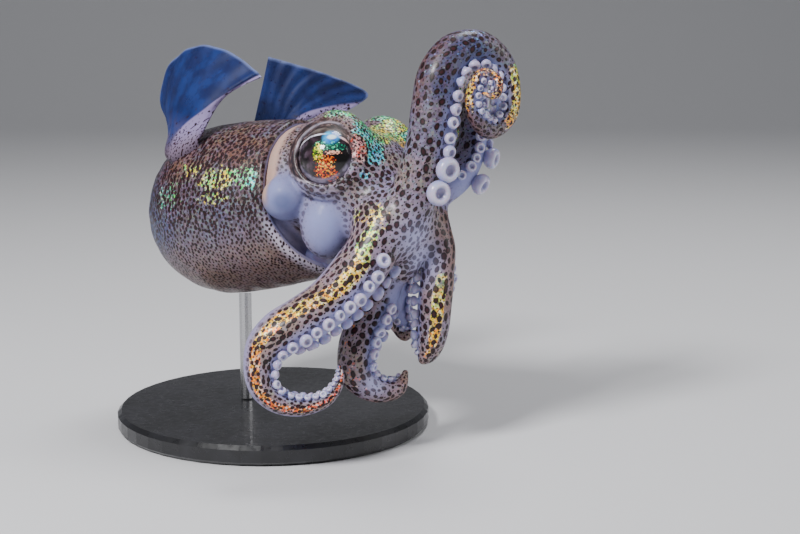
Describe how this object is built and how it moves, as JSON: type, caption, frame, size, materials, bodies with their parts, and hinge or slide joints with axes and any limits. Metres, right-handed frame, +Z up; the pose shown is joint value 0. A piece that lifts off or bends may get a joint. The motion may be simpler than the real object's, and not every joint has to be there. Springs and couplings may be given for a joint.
{
  "type": "southern bobtail squid model on a display stand",
  "caption": "Still, life-size bobtail squid hovering with two arms raised and the others curled, fins lifted, held by a rod over a round display base.",
  "frame": {"origin": "centre of the underside of the round display base, on the floor", "axes": "+Z up; +X to the right and +Y away from a viewer who stands where the picture was taken; the squid swims towards +X and that viewer"},
  "size_m": [0.081, 0.0722, 0.0808],
  "materials": {
    "skin": "wet, soft satin skin with dark chromatophore spots",
    "pale_skin": "smooth, pale, wet skin",
    "fin": "thin, bluish, partly clear membrane",
    "eye": "glossy clear dome over a dark iris with metallic glints",
    "stand_base": "black satin turned disc",
    "stand_rod": "brushed"
  },
  "bodies": {
    "root": {"arm_left_1_a": "skin", "arm_left_1_b": "skin", "arm_left_2_a": "skin", "arm_left_2_b": "skin", "arm_left_3_a": "skin", "arm_left_3_b": "skin", "arm_left_4_a": "skin", "arm_left_4_b": "skin", "arm_right_1_a": "skin", "arm_right_1_b": "skin", "arm_right_2_a": "skin", "arm_right_2_b": "skin", "arm_right_2_c": "skin", "arm_right_2_d": "skin", "arm_right_2_e": "skin", "arm_right_3_a": "skin", "arm_right_3_b": "skin", "arm_right_3_c": "skin", "arm_right_3_d": "skin", "arm_right_4_a": "skin", "arm_right_4_b": "skin", "crown": "skin", "eye_left": "eye", "eye_right": "eye", "fin_left": "fin", "fin_right": "fin", "funnel": "pale_skin", "head": "skin", "mantle": "skin", "mouth": "pale_skin", "stand_base": "stand_base", "stand_rod": "stand_rod"}
  },
  "joints": []
}
